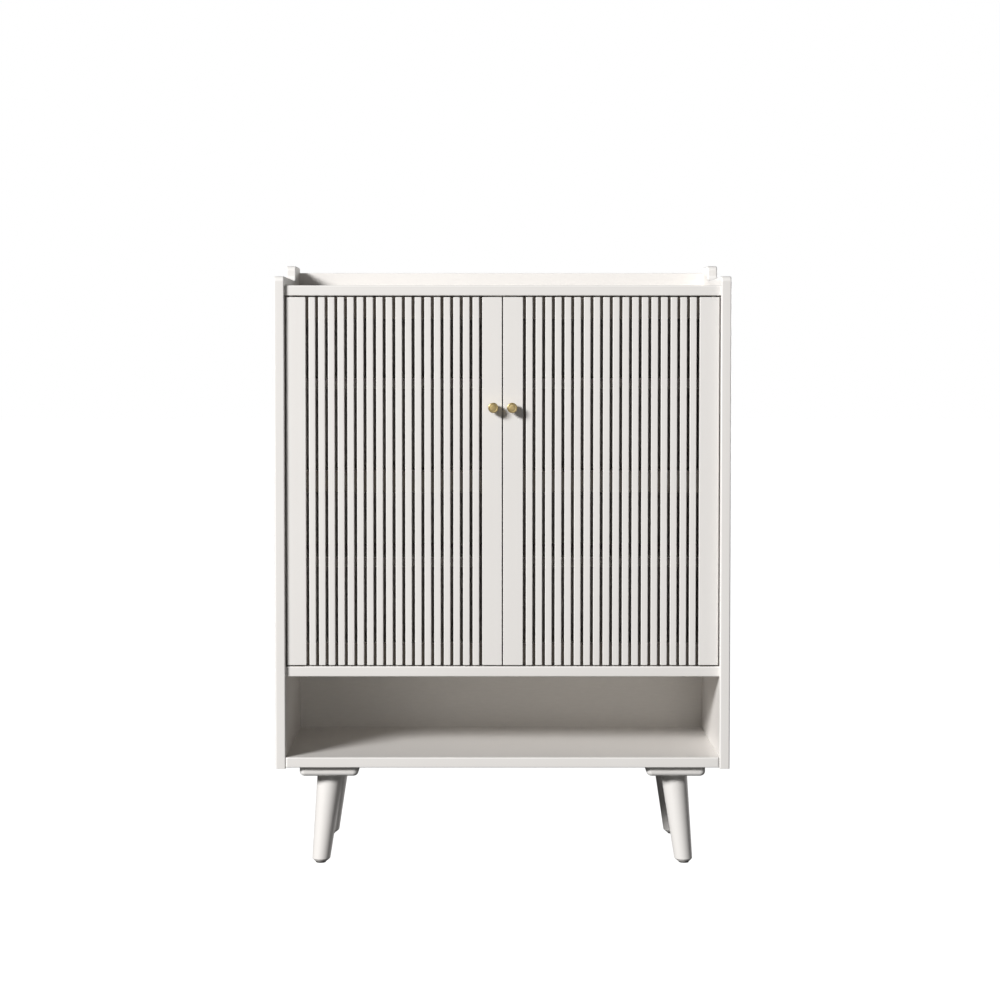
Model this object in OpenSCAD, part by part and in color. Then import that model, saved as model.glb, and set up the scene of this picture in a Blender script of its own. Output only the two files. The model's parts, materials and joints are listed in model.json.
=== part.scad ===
// Shoe cabinet: a cupboard with two slatted doors over an open bay, on four splayed legs.
// The front faces -Y. The origin is on the floor, below the middle of the whole object's
// outline, which runs from the front of the knobs to the rear edges of the side panels.
// Pieces that come in pairs are drawn for the right-hand side and mirrored for the left.

/* [Carcass] */
// Overall width, over the side panels
cabinet_w = 800; // [660:1:1000]
// Depth of the side panels
cabinet_d = 340; // [280:1:420]
// Thickness of the carcass boards and of the shelves
board_t = 18; // [16:0.5:22]
// Height of the open bay
open_bay_h = 142; // [110:1:180]
// Height of the bay behind the doors
door_bay_h = 652; // [540:1:800]
// How far the side panels reach below the bottom board
side_drop = 2; // [0:0.5:4]
// How far the side panels rise above the top board
side_rise = 16; // [10:1:30]
// Extra height of the raised rear part of the side panels
step_h = 28; // [24:1:45]
// Length of the raised rear part, front to back
step_l = 95; // [60:1:130]
// Radius of the outer corners of the side panels' outline
corner_r = 10; // [5:1:14]
// Radius of the inner corner at the foot of the raised part
inner_corner_r = 12; // [5:1:20]
// Round-over on the upright edges of the side panels
side_round = 6; // [1:0.5:7]
// Round-over on the front edges of the boards
board_round = 2; // [0.5:0.5:4]
// Height of the gallery rail above the top board
rail_h = 34; // [20:1:38]

/* [Back and shelves] */
// Thickness of the back panel
back_t = 5; // [3:0.5:8]
// Distance from the rear edges of the boards to the back panel
back_inset = 12; // [8:1:25]
// Depth of the grooves that hold the back panel
groove_d = 6; // [4:0.5:7]
// Heights of the undersides of the three shelves above the middle board
shelf_heights = [173, 318, 489];
// Distance from the backs of the doors to the fronts of the shelves
shelf_setback = 14; // [10:1:40]
// Spacing of the shelf pin holes
pin_pitch = 32; // [25:1:32]
// Diameter of the shelf pins
pin_dia = 5; // [4:0.5:6]

/* [Doors] */
// Thickness of the doors
door_t = 18; // [16:0.5:22]
// How far the doors, the top board and the middle board stand behind the side panels' fronts
door_recess = 8; // [3:0.5:15]
// Gap between a door and its side panel
side_gap = 2; // [1.8:0.1:4]
// Gap between the two doors
meeting_gap = 2; // [1.5:0.1:4]
// Gap above and below the doors
door_gap = 2.5; // [2:0.1:4]
// Width of one slat
slat_w = 11.6; // [9:0.1:18]
// Width of the open slot between two slats
slot_w = 5.3; // [2:0.1:6]
// Thickness of the slats
slat_t = 10; // [9.6:0.1:11]
// Round-over on the front edges of the slats
slat_round = 1.2; // [0.5:0.1:2]
// Narrowest stile that is allowed beside the slats
min_stile_w = 34.5; // [34.5:0.5:50]
// Height of the three rails that the slats are fixed to
rail_w = 38; // [28:1:60]
// Length of the lap where a rail enters a stile
lap_l = 9; // [5:1:9]

/* [Knobs] */
// Diameter of the knob's head
knob_dia = 18; // [14:0.5:26]
// How far the knob stands out from the door
knob_l = 22; // [18:0.5:30]
// Length of the knob's head
knob_head_l = 12; // [8:0.5:14]
// Distance from the door's meeting edge to the knob's axis
knob_in = 15.5; // [13:0.5:20]
// Distance from the door's top edge down to the knob's axis
knob_down = 193.5; // [100:0.5:260]

/* [Pivot hinges] */
// Distance from the door's hinge edge to the pin's axis
pivot_in = 10; // [8:0.5:12]
// Distance from the door's front face to the pin's axis
pivot_back = 5.5; // [5.4:0.1:5.6]
// Diameter of the pivot pins
pivot_dia = 5; // [4:0.1:5]
// Width of the hinge leaves
leaf_w = 8; // [7.5:0.1:8]
// Length of the hinge leaves from the pin's axis to the far end
leaf_l = 22; // [20:0.5:23]
// Thickness of the hinge leaves
leaf_t = 2.5; // [2:0.1:3]

/* [Legs] */
// Height from the floor to the underside of the leg plates
leg_h = 160; // [120:1:220]
// Diameter of a leg at its top
leg_top_dia = 47; // [36:1:50]
// Diameter of a leg at its foot
leg_foot_dia = 31; // [24:1:36]
// How far each foot stands outwards of the leg's top, in X and in Y
leg_splay = 17; // [0:1:30]
// Distance from the outside of a side panel to the middle of the leg plate
leg_in = 93; // [60:1:120]
// Distance from the front and rear edges to the middle of the leg plate
leg_inset = 65; // [55:1:75]
// Side of the square leg plates
plate_w = 104; // [90:1:110]
// Thickness of the leg plates
plate_t = 18; // [16:0.5:22]
// Round-over on the lower edges of the leg plates
plate_round = 8; // [3:0.5:9]
// Bevel round each foot
foot_bevel = 5.5; // [2:0.5:7]

/* [Hidden] */
$fn = 48;

// Colours
lacquer = "#efebe7";
shelf_white = "#e6e2dd";
back_white = "#dedad5";
brass = "#b2a276";
steel = "#b9bbbd";
zinc = "#9b9d9f";
beech = "#d9bd92";
nylon = "#35332f";
magnet_grey = "#4a4c50";

// Clearances
glue_gap = 0.05;     // round a dowel, a bolt or a screw in its hole
groove_gap = 0.1;    // on each face of the back panel in its grooves
end_gap = 0.5;       // at the ends of a panel in its grooves, and behind the middle board
shelf_gap = 1;       // between a shelf and each side panel
running_gap = 0.05;  // round a pivot pin in its leaf
washer_gap = 0.2;    // between a washer and the leaf on the frame

// Levels, from the floor up
plate_z = leg_h;
bottom_z = plate_z + plate_t;
open_bay_z = bottom_z + board_t;
middle_z = open_bay_z + open_bay_h;
door_bay_z = middle_z + board_t;
top_z = door_bay_z + door_bay_h;
tray_z = top_z + board_t;
side_z = bottom_z - side_drop;
side_h = tray_z + side_rise - side_z;
door_z = door_bay_z + door_gap;
door_h = door_bay_h - 2 * door_gap;

// Places across the width, on the right-hand side
outer_x = cabinet_w / 2;
inner_x = outer_x - board_t;
hinge_edge_x = inner_x - side_gap;
meeting_edge_x = meeting_gap / 2;
door_w = hinge_edge_x - meeting_edge_x;
slat_pitch = slat_w + slot_w;
slat_count = floor((door_w - 2 * min_stile_w - slot_w) / slat_pitch);
stile_w = (door_w - slot_w - slat_count * slat_pitch) / 2;
pivot_x = hinge_edge_x - pivot_in;
knob_x = meeting_edge_x + knob_in;
leg_x = outer_x - leg_in;

// Places front to back
door_y = (knob_l + door_recess - cabinet_d) / 2;
front_y = door_y - door_recess;
rear_y = front_y + cabinet_d;
door_back_y = door_y + door_t;
slat_back_y = door_y + slat_t;
back_rear_y = rear_y - back_inset;
back_front_y = back_rear_y - back_t;
shelf_y = door_back_y + shelf_setback;
shelf_d = back_front_y - end_gap - shelf_y;
middle_d = back_front_y - end_gap - door_y;
pivot_y = door_y + pivot_back;
knob_z = door_z + door_h - knob_down;

// Knock-down fittings: cam bolts with cam discs, and wooden dowels
cam_r = 7.5;
cam_h = 12.5;
cam_in = 34;          // from a board's end to the disc's axis
cam_bolt_r = 3.25;
cam_thread_r = 2.5;
cam_thread_l = 10;
dowel_r = 4;
dowel_l = 30;
dowel_in_side = 10;
hole_extra = 1;       // how much deeper a blind hole is than what it holds
end_cam_in = 50;      // from a board's front and rear edges to its cam bolts
end_dowel_in = 85;    // the same, to its dowels
// From the bottom board's middle to its cam bolts, which stay clear of the leg plates
mid_cam_off = (cabinet_d / 2 - leg_inset - plate_w / 2) * 0.47;

// Gallery rail dowels
rail_dowel_l = 24;
rail_dowel_in_top = 11;
rail_dowel_x = inner_x * 0.7;

// Shelf pins
pin_in = 9;           // length in the side panel, and length that stands out
pad_w = 12;
pad_t = 2;
pin_row_in = 35;      // from a shelf's front and rear edges to the pins

// Back panel screws, into the rear edge of the middle board
back_screw_l = 20;
back_screw_x = inner_x * 0.75;

// Legs
glide_t = 2.5;
glide_r = 9;
foot_bevel_h = 5;
plate_corner_r = 10;
leg_bolt_r = 4;
leg_bolt_up = 15;     // length of the bolt in the plate
leg_bolt_down = 26;   // length of the bolt in the leg
plate_screw_in = 12;  // from a plate's edges to its screws
plate_screw_l = 29;

// Pivot hinges
pin_reach = 8;        // length of the pin beyond the frame leaf and the gap
pin_hole_gap = 0.5;   // round the pin in the wood of the stile
leaf_gap = 0.1;       // round a leaf in its recess
leaf_screw_at = [9, 18];  // from the pin's axis
leaf_screw_l = 14;
washer_r = 3.9;
stile_round = 2.5;    // on the upright outer edges of the doors
stile_ease = 1.2;     // on the stiles' other upright edges

// Magnetic catch
catch_w = 56;
catch_d = 16;
catch_h = 12;
catch_gap = 0.5;      // between the catch and the strike plates
magnet_r = 4;
magnet_l = 8;
strike_w = 14;
strike_h = 9;
strike_t = 1.5;
strike_x = meeting_edge_x + 16;
catch_y = door_back_y + strike_t + catch_gap;
catch_z = top_z - catch_h;
strike_z = catch_z + catch_h / 2;
catch_screw_x = 6;

// Knobs
knob_base_r = 7;
knob_base_t = 1.5;
knob_neck_r = 4.5;
knob_edge_r = 1.2;
knob_screw_r = 2;
knob_screw_in = 9;    // length of the screw in the knob
knob_screw_head_r = 4;
knob_screw_head_t = 2.4;

// ---------------------------------------------------------------- shared shapes

// Draws its children for the right-hand side (1), or mirrored for the left (-1)
module on_side(side) {
    mirror([side < 0 ? 1 : 0, 0, 0]) children();
}

// The same for the front (1) and, mirrored about the carcass's middle, the rear (-1)
module on_end(end) {
    translate([0, end < 0 ? front_y + rear_y : 0, 0]) mirror([0, end < 0 ? 1 : 0, 0]) children();
}

// A w by h rectangle. Its corners are rounded by r, in the order
// low left, low right, high right, high left.
module soft_rect(w, h, r) {
    difference() {
        square([w, h]);
        for (i = [0:3]) if (r[i] > 0) {
            right = i == 1 || i == 2;
            high = i > 1;
            translate([right ? w : 0, high ? h : 0])
                mirror([right ? 1 : 0, 0])
                    mirror([0, high ? 1 : 0])
                        difference() {
                            translate([-1, -1]) square(r[i] + 1);
                            translate([r[i], r[i]]) circle(r[i]);
                        }
        }
    }
}

// Turns a shape drawn in Y and Z so that it is extruded along +X
module along_x(l) {
    rotate([90, 0, 90]) linear_extrude(l) children();
}

// Turns a shape drawn in X and Z so that it is extruded along +Y
module along_y(l) {
    translate([0, l, 0]) rotate([90, 0, 0]) linear_extrude(l) children();
}

// A countersunk screw that points along +Z with its flat head at z = 0
module flat_screw(head_r, shank_r, l, gap = 0) {
    sink = head_r - shank_r;
    cylinder(r1 = head_r + gap, r2 = shank_r + gap, h = sink);
    cylinder(r = shank_r + gap, h = l + gap);
}

// A screw with a round flat-topped head that lies on z = 0 and points along +Z
module pan_screw(head_r, head_t, shank_r, l) {
    translate([0, 0, -head_t]) cylinder(r = head_r, h = head_t);
    cylinder(r = shank_r, h = l);
}

// A horizontal board between the side panels, with its front edges eased
module board(y, z, d, t) {
    translate([-inner_x, y, z]) along_x(2 * inner_x) soft_rect(d, t, [board_round, 0, 0, board_round]);
}

// ---------------------------------------------------------------- joinery

// Fittings of each board: [its z, its cam bolts' y, its dowels' y]
joints = [
    [bottom_z, [(front_y + rear_y) / 2 - mid_cam_off, (front_y + rear_y) / 2 + mid_cam_off],
        [front_y + end_cam_in, rear_y - end_cam_in]],
    [middle_z, [door_y + end_cam_in, back_front_y - end_cam_in],
        [door_y + end_dowel_in, back_front_y - end_dowel_in]],
    [top_z, [door_y + end_cam_in, rear_y - end_cam_in],
        [door_y + end_dowel_in, rear_y - end_dowel_in]],
];

// One cam bolt: its thread is in the right side panel and its head in the cam disc
module cam_bolt(gap = 0) {
    translate([inner_x - cam_in - gap, 0, 0])
        rotate([0, 90, 0]) cylinder(r = cam_bolt_r + gap, h = cam_in + gap);
    translate([inner_x, 0, 0]) rotate([0, 90, 0]) cylinder(r = cam_thread_r + gap, h = cam_thread_l + gap);
}

// One dowel across the joint of a board and the right side panel
module dowel(gap = 0) {
    translate([inner_x + dowel_in_side - dowel_l - gap, 0, 0])
        rotate([0, 90, 0]) cylinder(r = dowel_r + gap, h = dowel_l + 2 * gap);
}

// Everything that is bored for one board's joints, on the right-hand side
module joint_holes(j) {
    axis_z = j[0] + board_t / 2;
    for (y = j[1]) {
        translate([0, y, axis_z]) cam_bolt(glue_gap);
        translate([inner_x - cam_in, y, j[0] - 1]) cylinder(r = cam_r + glue_gap, h = cam_h + 1 + glue_gap);
    }
    for (y = j[2]) translate([0, y, axis_z]) dowel(glue_gap);
}

module cam_bolts() {
    color(steel) for (s = [-1, 1], j = joints, y = j[1])
        on_side(s) translate([0, y, j[0] + board_t / 2]) cam_bolt();
}

// A cam disc has a cross slot that the bolt's head lies in
module cam_discs() {
    color(zinc) for (s = [-1, 1], j = joints, y = j[1]) on_side(s) difference() {
        translate([inner_x - cam_in, y, j[0]]) cylinder(r = cam_r, h = cam_h);
        translate([inner_x - cam_in - cam_r / 2, y, j[0] + board_t / 2])
            rotate([0, 90, 0]) cylinder(r = cam_bolt_r + glue_gap, h = 2 * cam_r);
        for (a = [0, 90]) translate([inner_x - cam_in, y, j[0]]) rotate(a) cube([9, 1.6, 3], center = true);
    }
}

module rail_dowel(gap = 0) {
    translate([0, rear_y - board_t / 2, tray_z - rail_dowel_in_top - gap])
        cylinder(r = dowel_r + gap, h = rail_dowel_l + 2 * gap);
}

module dowels() {
    color(beech) {
        for (s = [-1, 1], j = joints, y = j[2])
            on_side(s) translate([0, y, j[0] + board_t / 2]) dowel();
        for (x = [-1, 0, 1]) translate([x * rail_dowel_x, 0, 0]) rail_dowel();
    }
}

// ---------------------------------------------------------------- carcass boards

// The outline of a side panel, seen from the right: y from its front edge, z from its lower edge
module side_outline() {
    soft_rect(cabinet_d, side_h, [0, 0, 0, corner_r]);
    translate([cabinet_d - step_l, 0])
        soft_rect(step_l, side_h + step_h, [0, 0, corner_r, corner_r]);
    translate([cabinet_d - step_l - inner_corner_r, side_h]) difference() {
        square(inner_corner_r);
        translate([0, inner_corner_r]) circle(inner_corner_r);
    }
}

// Places of the shelf pins: [y, z of the pin's axis], in the front and rear rows
pin_rows = [shelf_y + pin_row_in, shelf_y + shelf_d - pin_row_in];
function pin_z(height) = door_bay_z + height - pad_t - pin_dia / 2 + 0.5;

module side_panel(side) {
    color(lacquer) on_side(side) difference() {
        intersection() {
            translate([inner_x, front_y, side_z]) along_x(board_t) side_outline();
            translate([inner_x, front_y, side_z]) linear_extrude(side_h + step_h)
                soft_rect(board_t, cabinet_d, [side_round, side_round, side_round, side_round]);
        }
        translate([inner_x - 1, back_front_y - groove_gap, bottom_z + board_t - groove_d])
            cube([groove_d + 1, back_t + 2 * groove_gap, top_z + groove_d - bottom_z - board_t + groove_d]);
        for (j = joints) joint_holes(j);
        for (h = shelf_heights, i = [-1:1], y = pin_rows)
            translate([inner_x - 1, y, pin_z(h) + i * pin_pitch])
                rotate([0, 90, 0]) cylinder(d = pin_dia + 2 * glue_gap, h = pin_in + 1 + hole_extra);
    }
}

// The groove along the upper or lower face of a board, for the back panel's edge
module back_groove(z) {
    translate([-inner_x - 1, back_front_y - groove_gap, z])
        cube([2 * inner_x + 2, back_t + 2 * groove_gap, groove_d]);
}

module top_board() {
    color(lacquer) difference() {
        board(door_y, top_z, rear_y - door_y, board_t);
        back_groove(top_z);
        for (s = [-1, 1]) on_side(s) {
            joint_holes(joints[2]);
            frame_leaf_recess(1);
        }
        for (x = [-1, 0, 1]) translate([x * rail_dowel_x, 0, 0]) rail_dowel(glue_gap);
        for (x = [-1, 1]) translate([x * catch_screw_x, catch_y + catch_d / 2, catch_z]) catch_screw(glue_gap);
    }
}

module middle_board() {
    color(lacquer) difference() {
        board(door_y, middle_z, middle_d, board_t);
        for (s = [-1, 1]) on_side(s) {
            joint_holes(joints[1]);
            frame_leaf_recess(0);
            for (x = [1, 3]) back_screw(x, glue_gap);
        }
    }
}

module bottom_board() {
    color(lacquer) difference() {
        board(front_y, bottom_z, cabinet_d, board_t);
        back_groove(bottom_z + board_t - groove_d);
        for (s = [-1, 1]) on_side(s) {
            joint_holes(joints[0]);
            for (e = [-1, 1]) on_end(e) plate_screws_at_leg(glue_gap);
        }
    }
}

module back_panel() {
    reach = groove_d - end_gap;
    color(back_white) difference() {
        translate([-inner_x - reach, back_front_y, open_bay_z - reach])
            cube([2 * (inner_x + reach), back_t, top_z - open_bay_z + 2 * reach]);
        for (s = [-1, 1], x = [1, 3]) on_side(s) back_screw(x, glue_gap);
    }
}

// One of the screws through the back panel, at a third or the whole of their spread
module back_screw(thirds, gap = 0) {
    translate([back_screw_x * thirds / 3, back_rear_y, middle_z + board_t / 2])
        rotate([90, 0, 0]) pan_screw(3.5, 1.8, 1.6 + gap, back_screw_l + gap);
}

module back_panel_screws() {
    color(steel) for (s = [-1, 1], x = [1, 3]) on_side(s) back_screw(x);
}

module gallery_rail() {
    color(lacquer) difference() {
        translate([-inner_x, rear_y - board_t, tray_z])
            along_x(2 * inner_x) soft_rect(board_t, rail_h, [0, 0, board_round, board_round]);
        for (x = [-1, 0, 1]) translate([x * rail_dowel_x, 0, 0]) rail_dowel(glue_gap);
    }
}

// ---------------------------------------------------------------- shelves

module shelf(height) {
    color(shelf_white) translate([-inner_x + shelf_gap, shelf_y, door_bay_z + height])
        along_x(2 * (inner_x - shelf_gap)) soft_rect(shelf_d, board_t, [board_round, 0, 0, board_round]);
}

module shelf_pins() {
    color(steel) for (s = [-1, 1], h = shelf_heights, y = pin_rows) on_side(s) {
        translate([inner_x - pin_in, y, pin_z(h)]) rotate([0, 90, 0]) cylinder(d = pin_dia, h = 2 * pin_in);
        translate([inner_x - pin_in, y - pad_w / 2, door_bay_z + h - pad_t]) cube([pin_in, pad_w, pad_t]);
    }
}

// ---------------------------------------------------------------- legs, front right

// Direction of the leg's axis, from the foot's centre up to the top's centre
leg_run = [-leg_splay, leg_splay, leg_h];
leg_l = norm(leg_run);
leg_tilt = [0, acos(leg_run[2] / leg_l), atan2(leg_run[1], leg_run[0])];
leg_y = front_y + leg_inset;
leg_slope = (leg_top_dia - leg_foot_dia) / 2 / leg_l;
leg_spare = 15;       // extra length of the cone at both ends, before the ends are cut level

// Moves its children to the leg's axis: z = 0 there is the centre of the leg's top
module on_leg_axis() {
    translate([leg_x, leg_y, plate_z]) rotate(leg_tilt) children();
}

module leg_bolt(gap = 0) {
    on_leg_axis() translate([0, 0, -leg_bolt_down - gap])
        cylinder(r = leg_bolt_r + gap, h = leg_bolt_up + leg_bolt_down + gap);
}

module leg(side, end) {
    color(lacquer) on_side(side) on_end(end) difference() {
        intersection() {
            on_leg_axis() translate([0, 0, -leg_l - leg_spare])
                cylinder(r1 = leg_foot_dia / 2 - leg_spare * leg_slope,
                         r2 = leg_top_dia / 2 + leg_spare * leg_slope, h = leg_l + 2 * leg_spare);
            translate([leg_x + leg_splay, leg_y - leg_splay, glide_t])
                cylinder(r1 = leg_foot_dia / 2 - foot_bevel,
                         r2 = leg_foot_dia / 2 + foot_bevel * (plate_z / foot_bevel_h - 1), h = plate_z - glide_t);
        }
        leg_bolt(glue_gap);
    }
}

// The screws of one leg plate, each with its head in the plate's underside
module plate_screws_at_leg(gap = 0) {
    off = plate_w / 2 - plate_screw_in;
    for (dx = [-off, off], dy = [-off, off])
        translate([leg_x + dx, leg_y + dy, plate_z]) flat_screw(4, 2, plate_screw_l, gap);
}

module leg_plate(side, end) {
    half = plate_w / 2;
    lower = [plate_round, plate_round, 0, 0];
    round = [plate_corner_r, plate_corner_r, plate_corner_r, plate_corner_r];
    color(lacquer) on_side(side) on_end(end) difference() {
        translate([leg_x - half, leg_y - half, plate_z]) intersection() {
            linear_extrude(plate_t) soft_rect(plate_w, plate_w, round);
            along_x(plate_w) soft_rect(plate_w, plate_t, lower);
            along_y(plate_w) soft_rect(plate_w, plate_t, lower);
        }
        leg_bolt(glue_gap);
        plate_screws_at_leg(glue_gap);
    }
}

module leg_bolts() {
    color(steel) for (s = [-1, 1], e = [-1, 1]) on_side(s) on_end(e) leg_bolt();
}

module leg_plate_screws() {
    color(steel) for (s = [-1, 1], e = [-1, 1]) on_side(s) on_end(e) plate_screws_at_leg();
}

module foot_glides() {
    color(nylon) for (s = [-1, 1], e = [-1, 1]) on_side(s) on_end(e)
        translate([leg_x + leg_splay, leg_y - leg_splay, 0]) {
            cylinder(r1 = glide_r - 0.5, r2 = glide_r, h = 0.5);
            translate([0, 0, 0.5]) cylinder(r = glide_r, h = glide_t - 0.5);
        }
}

// ---------------------------------------------------------------- pivot hinges, right-hand side

// Outline of a hinge leaf: round about the pin's axis, and square at the far end
module leaf_outline(gap = 0) {
    translate([pivot_x, pivot_y]) {
        circle(leaf_w / 2 + gap);
        translate([-leaf_l - gap, -leaf_w / 2 - gap]) square([leaf_l + gap, leaf_w + 2 * gap]);
    }
}

// Moves what is drawn upwards from a door's lower end to the upper (1) or lower (0) hinge,
// so that z = 0 is the face of the frame board and +z points into the door
module at_hinge(upper) {
    translate([0, 0, upper ? top_z : door_bay_z]) mirror([0, 0, upper]) children();
}

module frame_leaf_recess(upper) {
    at_hinge(upper) {
        translate([0, 0, -leaf_t]) linear_extrude(leaf_t + 1) leaf_outline(leaf_gap);
        for (x = leaf_screw_at) translate([pivot_x - x, pivot_y, 0])
            mirror([0, 0, 1]) flat_screw(2.7, 1.4, leaf_screw_l, glue_gap);
    }
}

module frame_leaf(side, upper) {
    color(brass) on_side(side) at_hinge(upper) {
        difference() {
            translate([0, 0, -leaf_t]) linear_extrude(leaf_t) leaf_outline();
            for (x = leaf_screw_at) translate([pivot_x - x, pivot_y, 0])
                mirror([0, 0, 1]) flat_screw(2.7, 1.4, leaf_screw_l, glue_gap);
        }
        translate([pivot_x, pivot_y, -leaf_t]) cylinder(d = pivot_dia, h = leaf_t + door_gap + pin_reach);
    }
}

module frame_leaf_screws() {
    color(brass) for (s = [-1, 1], u = [0, 1], x = leaf_screw_at)
        on_side(s) at_hinge(u) translate([pivot_x - x, pivot_y, 0])
            mirror([0, 0, 1]) flat_screw(2.7, 1.4, leaf_screw_l);
}

module door_leaf_screw(x, gap = 0) {
    translate([pivot_x - x, pivot_y, door_gap]) flat_screw(2.7, 1.4, leaf_screw_l, gap);
}

module door_hinge_leaves(side) {
    color(brass) for (u = [0, 1]) on_side(side) at_hinge(u) difference() {
        translate([0, 0, door_gap]) linear_extrude(leaf_t) leaf_outline();
        translate([pivot_x, pivot_y, 0]) cylinder(d = pivot_dia + 2 * running_gap, h = door_gap + leaf_t + 1);
        for (x = leaf_screw_at) door_leaf_screw(x, glue_gap);
    }
}

module door_leaf_screws(side) {
    color(brass) for (u = [0, 1], x = leaf_screw_at) on_side(side) at_hinge(u) door_leaf_screw(x);
}

module door_washers(side) {
    color(nylon) for (u = [0, 1]) on_side(side) at_hinge(u) translate([pivot_x, pivot_y, washer_gap])
        difference() {
            cylinder(r = washer_r, h = door_gap - washer_gap);
            translate([0, 0, -1]) cylinder(d = pivot_dia + 4 * running_gap, h = door_gap + 2);
        }
}

// What the upper and lower hinges need cut out of the hinge stile
module door_leaf_recess(upper) {
    at_hinge(upper) {
        translate([0, 0, door_gap - 1]) linear_extrude(leaf_t + 1) leaf_outline(leaf_gap);
        translate([pivot_x, pivot_y, door_gap])
            cylinder(d = pivot_dia + 2 * pin_hole_gap, h = pin_reach + hole_extra);
        for (x = leaf_screw_at) door_leaf_screw(x, glue_gap);
    }
}

// ---------------------------------------------------------------- doors, right-hand side

// Heights of the three rails' lower edges
rail_zs = [door_z, door_z + (door_h - rail_w) / 2, door_z + door_h - rail_w];

// The rails lie behind the slats and lap into the backs of the stiles
module door_rail_blanks(gap = 0) {
    x0 = meeting_edge_x + stile_w - lap_l;
    l = door_w - 2 * (stile_w - lap_l);
    for (z = rail_zs) translate([x0 - gap, slat_back_y, z - gap])
        cube([l + 2 * gap, door_t - slat_t + gap, rail_w + 2 * gap]);
}

module door_hinge_stile(side) {
    color(lacquer) on_side(side) difference() {
        translate([hinge_edge_x - stile_w, door_y, door_z]) linear_extrude(door_h)
            soft_rect(stile_w, door_t, [stile_ease, stile_round, stile_ease, stile_ease]);
        door_rail_blanks(glue_gap);
        for (u = [0, 1]) door_leaf_recess(u);
    }
}

module door_meeting_stile(side) {
    color(lacquer) on_side(side) difference() {
        translate([meeting_edge_x, door_y, door_z]) linear_extrude(door_h)
            soft_rect(stile_w, door_t, [stile_ease, stile_ease, stile_ease, stile_ease]);
        door_rail_blanks(glue_gap);
        knob_screw_shape(glue_gap);
        strike_screw_shape(glue_gap);
    }
}

module door_slats(side) {
    color(lacquer) on_side(side) for (i = [0:slat_count - 1])
        translate([meeting_edge_x + stile_w + slot_w + i * slat_pitch, door_y, door_z])
            linear_extrude(door_h) soft_rect(slat_w, slat_t, [slat_round, slat_round, 0, 0]);
}

module door_rails(side) {
    color(lacquer) on_side(side) difference() {
        door_rail_blanks();
        strike_screw_shape(glue_gap);
    }
}

// ---------------------------------------------------------------- catch and strikes

module catch_screw(gap = 0) {
    flat_screw(3, 1.5, catch_h + 11, gap);
}

module catch_magnet(gap = 0) {
    translate([strike_x, catch_y + magnet_l + gap, strike_z])
        rotate([90, 0, 0]) cylinder(r = magnet_r + gap, h = magnet_l + 2 * gap);
}

module magnetic_catch() {
    color(back_white) difference() {
        translate([-catch_w / 2, catch_y, catch_z])
            linear_extrude(catch_h) soft_rect(catch_w, catch_d, [1, 1, 3, 3]);
        for (s = [-1, 1]) on_side(s) {
            catch_magnet(glue_gap);
            translate([catch_screw_x, catch_y + catch_d / 2, catch_z]) catch_screw(glue_gap);
        }
    }
}

module catch_magnets() {
    color(magnet_grey) for (s = [-1, 1]) on_side(s) catch_magnet();
}

module catch_screws() {
    color(steel) for (s = [-1, 1]) on_side(s)
        translate([catch_screw_x, catch_y + catch_d / 2, catch_z]) catch_screw();
}

module strike_screw_shape(gap = 0) {
    translate([strike_x, door_back_y + strike_t, strike_z])
        rotate([90, 0, 0]) flat_screw(2.4, 1.25, 12, gap);
}

module door_strike_plate(side) {
    color(steel) on_side(side) difference() {
        translate([strike_x - strike_w / 2, door_back_y, strike_z - strike_h / 2])
            along_y(strike_t) soft_rect(strike_w, strike_h, [2, 2, 2, 2]);
        strike_screw_shape(glue_gap);
    }
}

module door_strike_screw(side) {
    color(steel) on_side(side) strike_screw_shape();
}

// ---------------------------------------------------------------- knobs

// Half outline of a knob: radius, and distance out from the door
module knob_outline() {
    square([knob_base_r, knob_base_t]);
    square([knob_neck_r, knob_l - knob_head_l + 1]);
    translate([0, knob_l - knob_head_l])
        soft_rect(knob_dia / 2, knob_head_l, [0, knob_edge_r, knob_edge_r, 0]);
}

// The machine screw from the door's back into the knob
module knob_screw_shape(gap = 0) {
    translate([knob_x, door_back_y, knob_z]) rotate([90, 0, 0])
        pan_screw(knob_screw_head_r, knob_screw_head_t, knob_screw_r + gap, door_t + knob_screw_in + gap);
}

module knob(side) {
    color(brass) on_side(side) difference() {
        translate([knob_x, door_y, knob_z]) rotate([90, 0, 0]) rotate_extrude() knob_outline();
        knob_screw_shape(glue_gap);
    }
}

module knob_screw(side) {
    color(steel) on_side(side) knob_screw_shape();
}

// ---------------------------------------------------------------- the nodes

side_panel(-1);  // side_panel_left
side_panel(1);  // side_panel_right
top_board();
middle_board();
bottom_board();
back_panel();
back_panel_screws();
gallery_rail();
shelf(shelf_heights[0]);  // shelf_lower
shelf(shelf_heights[1]);  // shelf_middle
shelf(shelf_heights[2]);  // shelf_upper
shelf_pins();
cam_bolts();
cam_discs();
dowels();
leg_plate(-1, 1);  // leg_plate_front_left
leg_plate(1, 1);  // leg_plate_front_right
leg_plate(-1, -1);  // leg_plate_rear_left
leg_plate(1, -1);  // leg_plate_rear_right
leg(-1, 1);  // leg_front_left
leg(1, 1);  // leg_front_right
leg(-1, -1);  // leg_rear_left
leg(1, -1);  // leg_rear_right
leg_bolts();
leg_plate_screws();
foot_glides();
frame_leaf(-1, 1);  // frame_leaf_top_left
frame_leaf(-1, 0);  // frame_leaf_bottom_left
frame_leaf(1, 1);  // frame_leaf_top_right
frame_leaf(1, 0);  // frame_leaf_bottom_right
frame_leaf_screws();
magnetic_catch();
catch_magnets();
catch_screws();
door_hinge_stile(-1);  // door_left_hinge_stile
door_meeting_stile(-1);  // door_left_meeting_stile
door_slats(-1);  // door_left_slats
door_rails(-1);  // door_left_rails
door_hinge_leaves(-1);  // door_left_hinge_leaves
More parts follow.
